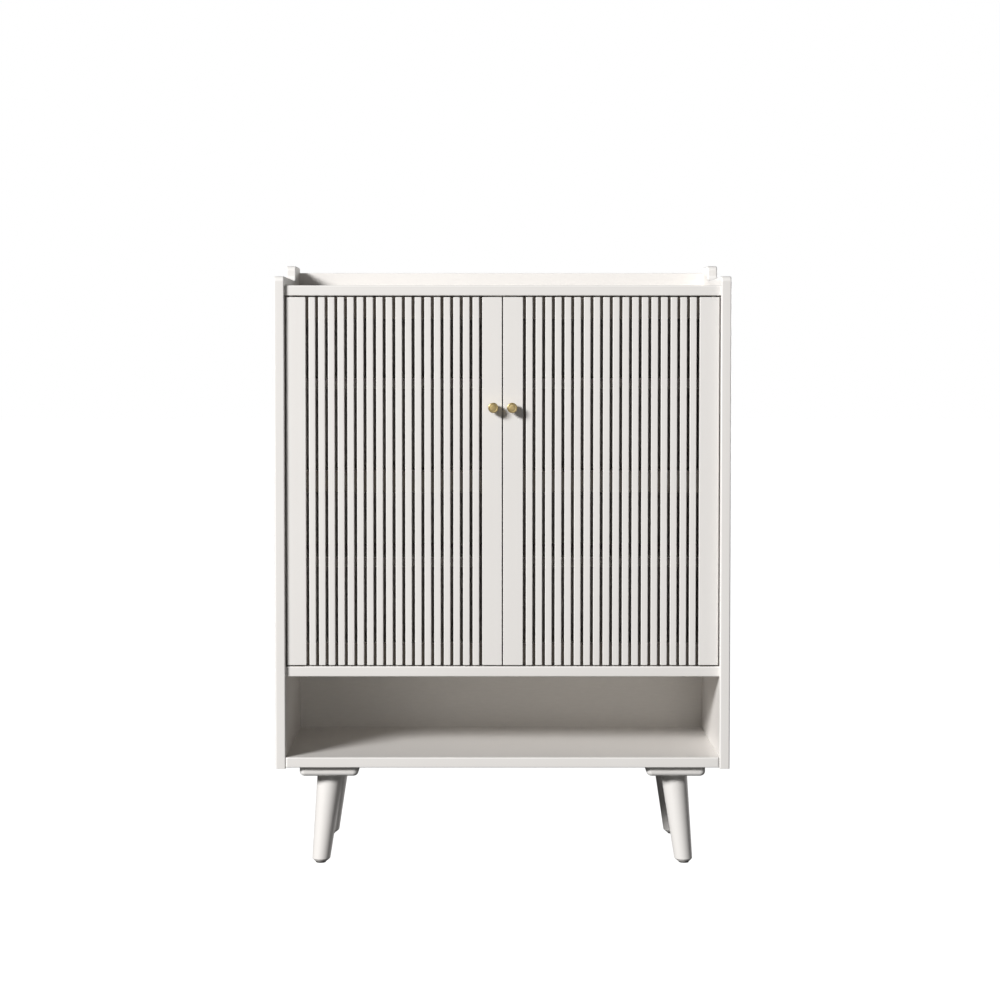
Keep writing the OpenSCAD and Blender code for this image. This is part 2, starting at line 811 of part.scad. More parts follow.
door_leaf_screws(-1);  // door_left_leaf_screws
door_washers(-1);  // door_left_washers
door_strike_plate(-1);  // door_left_strike_plate
door_strike_screw(-1);  // door_left_strike_screw
knob(-1);  // knob_left
knob_screw(-1);  // knob_screw_left
door_hinge_stile(1);  // door_right_hinge_stile
door_meeting_stile(1);  // door_right_meeting_stile
door_slats(1);  // door_right_slats
door_rails(1);  // door_right_rails
door_hinge_leaves(1);  // door_right_hinge_leaves
door_leaf_screws(1);  // door_right_leaf_screws
door_washers(1);  // door_right_washers
door_strike_plate(1);  // door_right_strike_plate
door_strike_screw(1);  // door_right_strike_screw
knob(1);  // knob_right
knob_screw(1);  // knob_screw_right
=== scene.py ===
# %% [markdown]
# # A slatted shoe cabinet on four splayed legs
# The cabinet's joinery already exists as exact solids: every board, slat, hinge leaf and screw is at its place and at
# its size. What is still missing is what a hand and an eye notice, such as eased edges, turned brass and a sprayed
# coat of lacquer. The solids are loaded as a fixed frame. Each new piece is built to the corners that the frame
# gives, because measuring the frame keeps the two from drifting apart, which typing the sizes again would not.

# %% Load the frame
import json
import math

import bpy
from mathutils import Matrix, Vector

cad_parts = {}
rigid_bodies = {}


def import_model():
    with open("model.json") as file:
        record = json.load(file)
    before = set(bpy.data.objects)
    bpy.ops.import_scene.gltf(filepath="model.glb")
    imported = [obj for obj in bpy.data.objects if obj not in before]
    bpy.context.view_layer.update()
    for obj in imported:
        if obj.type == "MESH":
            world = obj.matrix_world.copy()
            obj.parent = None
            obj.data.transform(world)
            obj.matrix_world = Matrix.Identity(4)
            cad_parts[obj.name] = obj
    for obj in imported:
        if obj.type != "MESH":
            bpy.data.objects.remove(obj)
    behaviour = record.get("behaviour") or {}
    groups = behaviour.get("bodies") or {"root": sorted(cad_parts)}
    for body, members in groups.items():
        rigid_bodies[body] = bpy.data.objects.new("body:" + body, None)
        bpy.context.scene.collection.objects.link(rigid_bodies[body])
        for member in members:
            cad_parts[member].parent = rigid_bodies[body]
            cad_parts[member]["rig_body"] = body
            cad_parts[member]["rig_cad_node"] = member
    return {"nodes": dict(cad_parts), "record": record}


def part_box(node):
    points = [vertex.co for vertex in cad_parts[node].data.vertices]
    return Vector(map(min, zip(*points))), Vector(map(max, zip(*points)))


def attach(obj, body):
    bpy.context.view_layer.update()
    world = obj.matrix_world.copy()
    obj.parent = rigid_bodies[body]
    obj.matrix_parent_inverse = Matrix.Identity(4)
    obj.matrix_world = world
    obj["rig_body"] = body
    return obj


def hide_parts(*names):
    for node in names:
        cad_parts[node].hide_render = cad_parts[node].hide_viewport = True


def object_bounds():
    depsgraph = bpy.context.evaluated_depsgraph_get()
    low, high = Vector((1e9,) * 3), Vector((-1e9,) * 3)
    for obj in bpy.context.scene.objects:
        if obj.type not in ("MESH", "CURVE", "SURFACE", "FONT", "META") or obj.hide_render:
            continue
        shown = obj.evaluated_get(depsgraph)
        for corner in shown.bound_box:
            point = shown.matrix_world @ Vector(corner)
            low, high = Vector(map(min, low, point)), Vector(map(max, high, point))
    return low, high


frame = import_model()
cad_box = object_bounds()
slot_of = {part["node"]: part["material_slot"] for part in frame["record"]["subparts"]}
body_of = {node: body for body, nodes in frame["record"]["behaviour"]["bodies"].items() for node in nodes}
MM = 0.001
print(len(slot_of), "CAD nodes; the cabinet is", [round((b - a) / MM) for a, b in zip(*cad_box)], "mm")

# %% [markdown]
# ## Colours and nodes
# Paint and stain are matched as sRGB colours, while a shader adds up light in linear numbers. One
# function turns a hex colour into the linear one. A second small function adds a node, sets it and links it, so that
# a material reads as a list of what it is made of.

# %% Colour and node helpers
def linear(hex_colour):
    """An sRGB hex colour as linear red, green, blue and alpha."""
    channels = [int(hex_colour[i:i + 2], 16) / 255 for i in (1, 3, 5)]
    return [c / 12.92 if c <= 0.04045 else ((c + 0.055) / 1.055) ** 2.4 for c in channels] + [1]


def add(tree, kind, inputs=None, **settings):
    """Adds a node with its settings. Each input is a value, or the output of another node."""
    node = tree.nodes.new(kind)
    for name, value in settings.items():
        setattr(node, name, value)
    for name, value in (inputs or {}).items():
        if isinstance(value, bpy.types.NodeSocket):
            tree.links.new(value, node.inputs[name])
        else:
            node.inputs[name].default_value = value
    return node


def new_finish(name, **surface):
    """A new material: its node tree, its surface shader and its Object coordinates."""
    material = bpy.data.materials.new(name)
    material.use_nodes = True
    tree = material.node_tree
    shader = tree.nodes["Principled BSDF"]
    for socket, value in surface.items():
        shader.inputs[socket.replace("_", " ")].default_value = value
    return material, tree, shader, add(tree, "ShaderNodeTexCoord").outputs["Object"]


def mix(tree, factor, a, b):
    """A colour between a and b, each of which is a colour or the output of a node."""
    return add(tree, "ShaderNodeMix", {"Factor": factor, "A": a, "B": b}, data_type="RGBA").outputs["Result"]


def feed(tree, shader, **outputs):
    """Links outputs to the shader's inputs of the same name, where an underscore stands for a space."""
    for socket, output in outputs.items():
        tree.links.new(output, shader.inputs[socket.replace("_", " ")])


def per_metre(millimetres):
    """The scale of a pattern whose features are this far apart."""
    return 1 / (millimetres * MM)


print("warm white in linear light:", [round(c, 3) for c in linear("#efebe7")[:3]])

# %% [markdown]
# ## Satin lacquer on the boards, doors and legs
# The cabinet is fibreboard and hardwood, sanded and sprayed with a two-part polyurethane lacquer. Sprayed lacquer is
# smooth but never flat: the drops flow together into a faint orange peel about 2 mm across, and the coat lies in
# slow waves of 30 mm or so, which is what bends a reflection. A real peel is too fine to be seen from across a room,
# so it is drawn 3 mm wide. At each arris the lacquer is glossier, as if polished by sleeves and dusters, and its
# colour is painted a little lighter, a painted highlight along the rounded edges. The front faces of the door rails,
# at the bottom of the narrow slots, are painted dark brown: painted shade that makes the slots look deep. The pieces
# carry both marks as face attributes.

# %% Satin lacquer
def lacquer(name, light, dark, roughness, peel):
    """A sprayed coat. Its tone drifts between two colours, and peel is the depth of the orange peel in mm."""
    material, tree, shader, place = new_finish(name, IOR=1.49)
    drift = add(tree, "ShaderNodeTexNoise", {"Vector": place, "Scale": per_metre(240), "Detail": 2.0})
    tone = mix(tree, drift.outputs["Fac"], linear(dark), linear(light))
    # Along each arris the colour turns lighter, a painted highlight on the rounded edges; the same mark lowers the
    # roughness there.
    arris = add(tree, "ShaderNodeAttribute", attribute_name="arris")
    edge_highlight_and_polish = add(tree, "ShaderNodeMath", {0: arris.outputs["Fac"], 1: 0.5}, operation="MULTIPLY")
    tone_with_edge_highlight = mix(tree, edge_highlight_and_polish.outputs[0], tone, linear("#f6f4f1"))
    # Where the dark mark is, the colour turns dark brown: painted shade on the door rails at the bottom of the slots,
    # and at half strength the bare fibreboard of the shelves' front edges.
    bare_edge_and_slot_shade_mask = add(tree, "ShaderNodeAttribute", attribute_name="bare_edge_and_slot_shade")
    coat_with_painted_light = mix(tree, bare_edge_and_slot_shade_mask.outputs["Fac"], tone_with_edge_highlight, linear("#5d554c"))
    waves = add(tree, "ShaderNodeTexNoise", {"Vector": place, "Scale": per_metre(30), "Detail": 1.0})
    skin = add(tree, "ShaderNodeTexNoise", {"Vector": place, "Scale": per_metre(3), "Detail": 2.0})
    sheen = add(tree, "ShaderNodeMapRange", {"Value": skin.outputs["Fac"], "From Min": 0.3, "From Max": 0.7,
                                             "To Min": roughness - 0.04, "To Max": roughness + 0.05})
    buffed = add(tree, "ShaderNodeMath", {0: edge_highlight_and_polish.outputs[0], 1: -0.12, 2: sheen.outputs["Result"]},
                 operation="MULTIPLY_ADD")
    flow = add(tree, "ShaderNodeBump", {"Height": waves.outputs["Fac"], "Distance": 3 * peel * MM, "Strength": 0.5})
    bump = add(tree, "ShaderNodeBump", {"Height": skin.outputs["Fac"], "Distance": peel * MM, "Strength": 0.5,
                                        "Normal": flow.outputs["Normal"]})
    feed(tree, shader, Base_Color=coat_with_painted_light, Roughness=buffed.outputs[0], Normal=bump.outputs["Normal"])
    return material


finishes = {
    "lacquered_wood": lacquer("Satin polyurethane lacquer", "#ebe8e4", "#e5e1dd", 0.38, 0.02),
    "shelf_board": lacquer("Melamine shelf coating", "#e3dfda", "#dcd7d1", 0.46, 0.012),
}
print("sprayed finishes:", sorted(m.name for m in finishes.values()))

# %% [markdown]
# ## The back panel's coating
# The back is thin hardboard with a rolled white primer. A roller leaves a stipple and lets the fibres show, so this
# finish is duller and coarser than the lacquer, and its tone is broken by pale fibres. The fibres are a noise pattern
# that is stretched along the sheet.

# %% Primed hardboard
def primed_hardboard():
    material, tree, shader, place = new_finish("Primed hardboard", IOR=1.45)
    stretch = add(tree, "ShaderNodeMapping", {"Vector": place, "Scale": (0.2, 1.0, 1.0)})
    fibres = add(tree, "ShaderNodeTexNoise", {"Vector": stretch.outputs["Vector"], "Scale": per_metre(4),
                                              "Detail": 4.0, "Roughness": 0.65})
    tone = mix(tree, fibres.outputs["Fac"], linear("#d9d5cf"), linear("#e6e2dc"))
    dull = add(tree, "ShaderNodeMapRange", {"Value": fibres.outputs["Fac"], "To Min": 0.52, "To Max": 0.7})
    bump = add(tree, "ShaderNodeBump", {"Height": fibres.outputs["Fac"], "Distance": 0.06 * MM, "Strength": 0.6})
    feed(tree, shader, Base_Color=tone, Roughness=dull.outputs["Result"], Normal=bump.outputs["Normal"])
    return material


finishes["back_board"] = primed_hardboard()
print(finishes["back_board"].name, "is ready")

# %% [markdown]
# ## Beech dowels
# A dowel is a split rod of beech. Beech is known by its short dark flecks along the grain, on a pale pinkish brown.
# The dowels sit inside the joints and show only when the cabinet is taken apart, but they still get their grain.
# The grain is noise that is drawn out along the rods.

# %% Beech
def beech():
    material, tree, shader, place = new_finish("Raw beech", Roughness=0.6)
    drawn_out = add(tree, "ShaderNodeMapping", {"Vector": place, "Scale": (0.1, 1.0, 1.0)})
    flecks = add(tree, "ShaderNodeTexNoise", {"Vector": drawn_out.outputs["Vector"], "Scale": per_metre(0.8),
                                              "Detail": 3.0})
    tone = add(tree, "ShaderNodeValToRGB", {"Fac": flecks.outputs["Fac"]})
    tone.color_ramp.elements[0].position = 0.42
    tone.color_ramp.elements[0].color = linear("#a9794c")
    tone.color_ramp.elements[1].position = 0.6
    tone.color_ramp.elements[1].color = linear("#d9b78c")
    bump = add(tree, "ShaderNodeBump", {"Height": flecks.outputs["Fac"], "Distance": 0.05 * MM, "Strength": 0.5})
    feed(tree, shader, Base_Color=tone.outputs["Color"], Normal=bump.outputs["Normal"])
    return material


finishes["beech"] = beech()
print(finishes["beech"].name, "is ready")

# %% [markdown]
# ## Metals
# Four metals are used. Satin brass is turned or stamped, then brushed. Zinc-plated steel has a thin bright coat with
# a cloudy passivated tint. The cam discs are die-cast zinc, tumbled until they are grey. The magnets are sintered
# ferrite, which is really a dark ceramic. A metal's colour is its reflection, so all but the ferrite are fully
# metallic and keep the shader's own IOR. What tells them apart is tone, roughness and how the marks run.

# %% Brushed, plated and cast metal
def metal(name, light, dark, roughness, marks, direction):
    """Metal with marks this many mm apart, drawn out along one direction, and a cloudy tone."""
    material, tree, shader, place = new_finish(name, Metallic=1.0)
    drawn_out = add(tree, "ShaderNodeMapping", {"Vector": place, "Scale": direction})
    scratches = add(tree, "ShaderNodeTexNoise", {"Vector": drawn_out.outputs["Vector"], "Scale": per_metre(marks),
                                                 "Detail": 3.0})
    cloud = add(tree, "ShaderNodeTexNoise", {"Vector": place, "Scale": per_metre(9), "Detail": 2.0})
    tone = mix(tree, cloud.outputs["Fac"], linear(dark), linear(light))
    rough = add(tree, "ShaderNodeMapRange", {"Value": scratches.outputs["Fac"], "To Min": roughness - 0.1,
                                             "To Max": roughness + 0.12})
    bump = add(tree, "ShaderNodeBump", {"Height": scratches.outputs["Fac"], "Distance": 0.02 * MM, "Strength": 0.6})
    feed(tree, shader, Base_Color=tone, Roughness=rough.outputs["Result"], Normal=bump.outputs["Normal"])
    return material


finishes["brass"] = metal("Brushed brass", "#cdb98c", "#b39c69", 0.34, 0.4, (0.08, 1.0, 1.0))
finishes["steel"] = metal("Zinc-plated steel", "#c9cccf", "#b3b5b2", 0.32, 0.5, (1.0, 1.0, 0.3))
finishes["zinc"] = metal("Die-cast zinc", "#a9abad", "#8f9193", 0.48, 0.7, (1.0, 1.0, 1.0))
print("metals:", [finishes[k].name for k in ("brass", "steel", "zinc")])

# %% [markdown]
# ## Moulded and sintered pieces
# The catch is moulded plastic with a spark-eroded texture, a fine even grain that hides fingerprints. The glides
# under the feet are dark nylon, which is waxier. The catch magnets are sintered ferrite, matt and almost black. All
# three are a grain of small cells over a tone that hardly varies, so one function makes them.

# %% Grained finishes
def grained(name, light, dark, roughness, grain, depth, ior):
    """An even grain: its spacing and depth are in mm."""
    material, tree, shader, place = new_finish(name, IOR=ior)
    cells = add(tree, "ShaderNodeTexVoronoi", {"Vector": place, "Scale": per_metre(grain)})
    cloud = add(tree, "ShaderNodeTexNoise", {"Vector": place, "Scale": per_metre(6), "Detail": 3.0})
    tone = mix(tree, cloud.outputs["Fac"], linear(dark), linear(light))
    rough = add(tree, "ShaderNodeMapRange", {"Value": cloud.outputs["Fac"], "To Min": roughness - 0.06,
                                             "To Max": roughness + 0.06})
    bump = add(tree, "ShaderNodeBump", {"Height": cells.outputs["Distance"], "Distance": depth * MM, "Strength": 0.5})
    feed(tree, shader, Base_Color=tone, Roughness=rough.outputs["Result"], Normal=bump.outputs["Normal"])
    return material


finishes["catch_plastic"] = grained("Spark-textured ABS", "#e6e3dd", "#dedad3", 0.5, 0.5, 0.03, 1.53)
finishes["glide_nylon"] = grained("Dark nylon", "#4a4743", "#35322e", 0.55, 0.6, 0.03, 1.53)
finishes["magnet"] = grained("Sintered ferrite", "#55575b", "#3c3e41", 0.6, 0.3, 0.02, 1.8)
print(len(finishes), "finishes, one for each material slot of the record")

# %% [markdown]
# ## Dressing the frame
# The CAD solids whose shape is already right only need their finish: the back panel, the dowels, the washers between
# the hinge leaves, and the long bolts inside the legs and joints. All solids get theirs now, and those that a finished
# piece replaces later are hidden.

# %% Give each CAD solid its finish
for node, solid in frame["nodes"].items():
    solid.data.materials.clear()
    solid.data.materials.append(finishes[slot_of[node]])
print("finishes on", len(frame["nodes"]), "solids")

# %% [markdown]
# ## Working on one piece at a time
# Nearly every Blender operator acts on all that is selected, so each step first deselects everything and then selects
# exactly what it needs. Edges are picked as a joiner would name them: by where they are, which way they run and how
# sharply the faces turn there.

# %% Selecting
def only(piece):
    """Selects this piece alone and makes it the active one."""
    bpy.ops.object.select_all(action="DESELECT")
    piece.select_set(True)
    bpy.context.view_layer.objects.active = piece


def face_turns(mesh):
    """For each edge, by its two vertices, how far the surface turns there, in degrees."""
    beside = {}
    for face in mesh.polygons:
        for key in face.edge_keys:
            beside.setdefault(key, []).append(face.normal)
    return {key: math.degrees(n[0].angle(n[1], 0)) if len(n) == 2 else 180 for key, n in beside.items()}


def pick_edges(piece, test):
    """Selects the edges whose middle, direction and turn pass a test. Returns how many there are."""
    mesh = piece.data
    turns = face_turns(mesh)
    for group in (mesh.vertices, mesh.edges, mesh.polygons):
        group.foreach_set("select", [False] * len(group))
    count = 0
    for edge in mesh.edges:
        a, b = (mesh.vertices[i].co for i in edge.vertices)
        edge.select = bool(test((a + b) / 2, (b - a).normalized(), turns.get(edge.key, 0)))
        count += edge.select
    bpy.context.tool_settings.mesh_select_mode = (False, True, False)
    return count


def round_edges(piece, radius, test, segments=3):
    """Rounds the edges that pass a test. The radius is in mm."""
    only(piece)
    if pick_edges(piece, test):
        bpy.ops.object.mode_set(mode="EDIT")
        bpy.ops.mesh.bevel(offset=radius * MM, segments=segments, affect="EDGES", clamp_overlap=True)
        bpy.ops.object.mode_set(mode="OBJECT")
    return piece


def sharp(middle, along, turn):
    """Passes every edge at which the surface turns by more than 40 degrees."""
    return turn > 40


EPS = 0.02 * MM       # how close two places are when they count as the same
print("helpers for selecting and rounding are ready")

# %% [markdown]
# ## Boards and their joints
# A board starts as a block between two corners. Its edges are rounded in the order of a workshop: the large radii
# first, then a light pass of sandpaper over every arris that is left. Holes come last, and the surest way to drill
# them is to cut with the very fittings that sit in them: a merged copy of their CAD solids is taken out of the board
# with a Boolean modifier.

# %% Blocks and cuts
def block(low, high):
    """A box between two corners, with its place in its mesh."""
    bpy.ops.object.select_all(action="DESELECT")
    bpy.ops.mesh.primitive_cube_add(size=1, location=(low + high) / 2)
    piece = bpy.context.object
    piece.scale = high - low
    bpy.ops.object.transform_apply(location=True, rotation=True, scale=True)
    return piece


def merged_copy(node):
    """A copy of a CAD node whose loose triangles are joined into one closed mesh."""
    piece = frame["nodes"][node].copy()
    piece.data = piece.data.copy()
    piece.parent = None
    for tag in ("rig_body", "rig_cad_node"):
        del piece[tag]
    bpy.context.scene.collection.objects.link(piece)
    only(piece)
    bpy.context.tool_settings.mesh_select_mode = (True, False, False)
    bpy.ops.object.mode_set(mode="EDIT")
    bpy.ops.mesh.select_all(action="SELECT")
    bpy.ops.mesh.remove_doubles(threshold=0.001 * MM)
    bpy.ops.object.mode_set(mode="OBJECT")
    return piece


def cut(piece, *cutters):
    """Cuts solids out of a piece. A cutter is a CAD node's name, or an object, and objects are used up."""
    for cutter in cutters:
        tool = merged_copy(cutter) if isinstance(cutter, str) else cutter
        only(piece)
        modifier = piece.modifiers.new("cut", "BOOLEAN")
        modifier.operation = "DIFFERENCE"
        modifier.solver = "EXACT"
        modifier.object = tool
        bpy.ops.object.modifier_apply(modifier=modifier.name)
        bpy.data.objects.remove(tool)
    return piece


print("cuts are made with merged copies of the solids")

# %% [markdown]
# A finished piece is shaded smooth where its faces meet at a small angle, and its flat sides are kept flat. Then it
# takes over the body, the material slot and the place of the CAD nodes that it stands for.

# %% Marks and finishing
def mark_faces(piece, name, test):
    """Gives the piece a face attribute. The test turns a face's normal into its value, from 0 to 1."""
    marks = piece.data.attributes.new(name, "FLOAT", "FACE")
    marks.data.foreach_set("value", [float(test(face.normal)) for face in piece.data.polygons])


SMOOTH_BELOW = 35     # degrees between two faces that are shaded as one surface
FLAT = 0.985          # the largest part of a normal on a face that follows an axis


def stand_for(piece, *nodes, arrises=True):
    """Lets a finished piece take the place of its CAD nodes: their body, their slot and its finish."""
    only(piece)
    bpy.ops.object.shade_smooth_by_angle(angle=math.radians(SMOOTH_BELOW))
    piece.modifiers.new("flat_sides", "WEIGHTED_NORMAL").keep_sharp = True
    bpy.ops.object.modifier_apply(modifier="flat_sides")
    piece.name = piece.data.name = "finished_" + nodes[0]
    slot = slot_of[nodes[0]]
    piece.data.materials.clear()
    piece.data.materials.append(finishes[slot])
    if arrises:
        # The arris mark gives the narrow sloping faces a lighter colour, a painted highlight on the rounded edges.
        mark_faces(piece, "arris", lambda normal: max(map(abs, normal)) < FLAT)
    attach(piece, body_of[nodes[0]])
    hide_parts(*nodes)
    return piece


trial = round_edges(block(Vector((0, 0, 0)), Vector((1, 1, 1)) * 18 * MM), 2, sharp)
print("a rounded block has", len(trial.data.polygons), "faces")
bpy.data.objects.remove(trial)

# %% [markdown]
# ## Side panels
# Each side is one board with a raised part at the rear. The outline is sawn, its corners are rounded, and then a
# router with a 6 mm bit runs round the front, top and rear on both faces, but not along the sawn lower end. The raised
# part could be a second block, but a joint line would show, so it is extruded from the same board. The grooves and
# the rows of holes for the shelf pins are cut last.

# %% Shape of a side panel
OUTLINE_RADIUS = 10   # mm, corners of the outline
FOOT_RADIUS = 12      # mm, where the raised part starts
ROUTER_RADIUS = 6     # mm, along the outline on both faces
STEP_HEIGHT = 28      # mm, of the raised part
STEP_LENGTH = 95      # mm, of the raised part


def side_board(node):
    low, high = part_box(node)
    shoulder = high.z - STEP_HEIGHT * MM
    step_y = high.y - STEP_LENGTH * MM
    piece = block(low, Vector((high.x, high.y, shoulder)))
    only(piece)
    bpy.ops.object.mode_set(mode="EDIT")
    bpy.ops.mesh.select_all(action="SELECT")
    bpy.ops.mesh.bisect(plane_co=(0, step_y, 0), plane_no=(0, 1, 0))
    bpy.ops.object.mode_set(mode="OBJECT")
    for group in (piece.data.vertices, piece.data.edges, piece.data.polygons):
        group.foreach_set("select", [False] * len(group))
    for face in piece.data.polygons:
        face.select = face.normal.z > 0.9 and face.center.y > step_y
    bpy.context.tool_settings.mesh_select_mode = (False, False, True)
    bpy.ops.object.mode_set(mode="EDIT")
    bpy.ops.mesh.extrude_region_move(TRANSFORM_OT_translate={"value": (0, 0, STEP_HEIGHT * MM)})
    bpy.ops.object.mode_set(mode="OBJECT")

    def across(middle, along, turn):
        return abs(along.x) > 0.99 and turn > 40 and middle.z > shoulder - EPS

    round_edges(piece, FOOT_RADIUS, lambda m, a, t: across(m, a, t) and m.z < shoulder + EPS and m.y > low.y + EPS, 8)
    round_edges(piece, OUTLINE_RADIUS, across, 8)
    round_edges(piece, ROUTER_RADIUS, lambda m, a, t: t > 40 and m.z > low.z + EPS and abs(a.x) < 0.01, 4)
    return round_edges(piece, 0.4, sharp, 1)


print("the raised part is", STEP_LENGTH, "mm long and", STEP_HEIGHT, "mm high")

# %% [markdown]
# Two more helpers serve from here on: a round cutter, and a list of the separate solids in a CAD node, such as each of
# its screws. Triangles belong to one solid when they share a corner, so the corners are gathered into groups.

# %% Rods and separate solids
def rod(centre, radius, length, axis):
    """A cylinder for cutting with, centred on a point. The radius and the length are in mm."""
    turn = Vector(axis).to_track_quat("Z", "Y").to_euler()
    bpy.ops.object.select_all(action="DESELECT")
    bpy.ops.mesh.primitive_cylinder_add(vertices=32, radius=radius * MM, depth=length * MM, location=centre,
                                        rotation=turn)
    bpy.ops.object.transform_apply(location=True, rotation=True, scale=True)
    return bpy.context.object


def solids(node):
    """The lowest and highest corner of each separate solid in a CAD node, from left to right."""
    mesh = frame["nodes"][node].data
    spots = [tuple(round(c / MM, 2) for c in vertex.co) for vertex in mesh.vertices]
    root = {spot: spot for spot in spots}

    def top(spot):
        while root[spot] != spot:
            root[spot] = root[root[spot]]
            spot = root[spot]
        return spot

    for face in mesh.polygons:
        first, *others = (spots[i] for i in face.vertices)
        for other in others:
            root[top(other)] = top(first)
    groups = {}
    for spot in root:
        groups.setdefault(top(spot), []).append(spot)
    corners = [(Vector(map(min, *g)) * MM, Vector(map(max, *g)) * MM) for g in groups.values()]
    return sorted(corners, key=lambda pair: tuple(pair[0]))


pins = solids("shelf_pins")
print(len(pins), "shelf pins, the first one at", [round(c / MM) for c in pins[0][0]], "mm")

# %% [markdown]
# The back panel's groove and the blind holes are cut with tools that are a touch larger than what they hold. Spare
# holes above and below each shelf let the owner move it, and they are the only holes that stay in sight.

# %% Bore and place the side panels
PIN_SPACING = 32      # mm between one row of pin holes and the next
PIN_HOLE_DEPTH = 10   # mm
back_low, back_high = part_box("back_panel")
for side in ("left", "right"):
    node = "side_panel_" + side
    low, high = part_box(node)
    board = side_board(node)
    inner = high.x if side == "left" else low.x
    outward = -1 if side == "left" else 1
    for pin_low, pin_high in pins:
        if (pin_low.x + pin_high.x) * outward < 0:
            continue
        pin_z = pin_low.z + 2.5 * MM
        for row in (-1, 0, 1):
            centre = Vector((inner, (pin_low.y + pin_high.y) / 2, pin_z + row * PIN_SPACING * MM))
            cut(board, rod(centre, 2.6, 2 * PIN_HOLE_DEPTH, (1, 0, 0)))
    groove = Vector((0, 0.1, 0.5)) * MM
    cut(board, block(back_low - groove, back_high + groove), "dowels", "cam_bolts")
    stand_for(board, node)
    print(node, "has", len(board.data.polygons), "faces")

# %% [markdown]
# ## Top, middle and bottom board
# The three boards lie between the sides. Their front edges are rounded by 2 mm. The bottom board comes flush with the
# side panels, so its front corners are rounded as well, which leaves a neat dark V between it and each side. The cam
# discs are let in from below, and their bores are plain cylinders, because a disc has slots that must not be cut.

# %% Boards between the sides
FRONT_ROUND = 2       # mm
SANDED = 0.5          # mm, every other arris
CORNER_ROUND = 3.5    # mm, front corners of the bottom board


def cam_bores(low, high):
    """Cylinders for the cam discs that are in a board."""
    found = [(a, b) for a, b in solids("cam_discs") if low.z - EPS < a.z and b.z < high.z + EPS]
    bores = []
    for disc_low, disc_high in found:
        middle = (disc_low + disc_high) / 2
        depth = (disc_high.z - disc_low.z) / MM
        bores.append(rod(middle - Vector((0, 0, 0.5 * MM)), (disc_high.x - disc_low.x) / 2 / MM, depth + 1, (0, 0, 1)))
    return bores


def level_board(node, corner_round=0):
    """A board with rounded front edges, and rounded front corners if it is given a radius."""
    low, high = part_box(node)
    piece = block(low, high)
    if corner_round:
        round_edges(piece, corner_round, lambda m, a, t: abs(a.z) > 0.99 and m.y < low.y + EPS, 5)
    round_edges(piece, FRONT_ROUND,
                lambda m, a, t: t > 40 and abs(a.z) < 0.01 and m.y < low.y + (corner_round + 0.1) * MM, 4)
    return round_edges(piece, SANDED, lambda m, a, t: t > 40 and m.y > low.y + 5 * MM, 2)


board_cuts = {
    "top_board": ["dowels", "cam_bolts", "back_panel", "catch_screws", "frame_leaf_top_left",
                  "frame_leaf_top_right", "frame_leaf_screws"],
    "middle_board": ["dowels", "cam_bolts", "back_panel_screws", "frame_leaf_bottom_left",
                     "frame_leaf_bottom_right", "frame_leaf_screws"],
    "bottom_board": ["dowels", "cam_bolts", "back_panel", "leg_plate_screws"],
}
for node, cutters in board_cuts.items():
    board = level_board(node, CORNER_ROUND if node == "bottom_board" else 0)
    cut(board, *cam_bores(*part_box(node)), *cutters)
    stand_for(board, node)
    print(node, "has", len(board.data.polygons), "faces")

# %% [markdown]
# ## Gallery rail and shelves
# The rail stands on the top board between the raised parts, and keeps things from falling behind. Only its upper
# edges are touched by hands, so only they are rounded. The shelves are plain boards with a rounded front. Only their
# faces are coated, and a thin wash of primer leaves the fibreboard of the front edge half bare.

# %% Rail and shelves
rail_low, rail_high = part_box("gallery_rail")
rail = block(rail_low, rail_high)
round_edges(rail, FRONT_ROUND, lambda m, a, t: abs(a.x) > 0.99 and m.z > rail_high.z - EPS, 4)
round_edges(rail, 0.3, lambda m, a, t: t > 40, 1)
stand_for(cut(rail, "dowels"), "gallery_rail")
for node in ("shelf_lower", "shelf_middle", "shelf_upper"):
    mark_faces(stand_for(level_board(node), node), "bare_edge_and_slot_shade", lambda normal: 0.5 * (normal.y < -0.9))
print("gallery rail and three shelves, each", round((rail_high.x - rail_low.x) / MM), "mm long or a little less")

# %% [markdown]
# ## Doors
# A door is two stiles with eighteen slats between them, and three rails behind that hold it all together. The slats
# are planed all round and glued on with open slots between them, so that the shoes can dry. One slat is shaped, and
# an Array modifier repeats it. The rails lap into the backs of the stiles, and the CAD rails cut those laps.

# %% Slats
SLAT_ROUND = 1.2      # mm, front edges


def slats(side):
    node = f"door_{side}_slats"
    boxes = solids(node)
    low, high = boxes[0]
    pitch = boxes[1][0].x - low.x
    piece = block(low, high)
    round_edges(piece, SLAT_ROUND, lambda m, a, t: abs(a.z) > 0.99 and m.y < low.y + EPS, 3)
    round_edges(piece, 0.5, sharp, 2)
    array = piece.modifiers.new("row", "ARRAY")
    array.count = len(boxes)
    array.use_relative_offset = False
    array.use_constant_offset = True
    array.constant_offset_displace = (pitch, 0, 0)
    only(piece)
    bpy.ops.object.modifier_apply(modifier="row")
    return stand_for(piece, node), len(boxes), pitch


for side in ("left", "right"):
    made, count, pitch = slats(side)
    print(made.name, count, "slats,", round(pitch / MM, 2), "mm from one to the next")

# %% [markdown]
# The stiles are taller than they are wide by far, so a hand runs along their upright edges most. The hinge stile has
# a larger round at its outer front edge: the pin's axis is close behind it, and a square edge would meet the side
# panel as the door opens.

# %% Stiles and rails
HINGE_ROUND = 2.5     # mm, on the edge that swings past the side panel
STILE_ROUND = 1.2     # mm, on the other upright edges


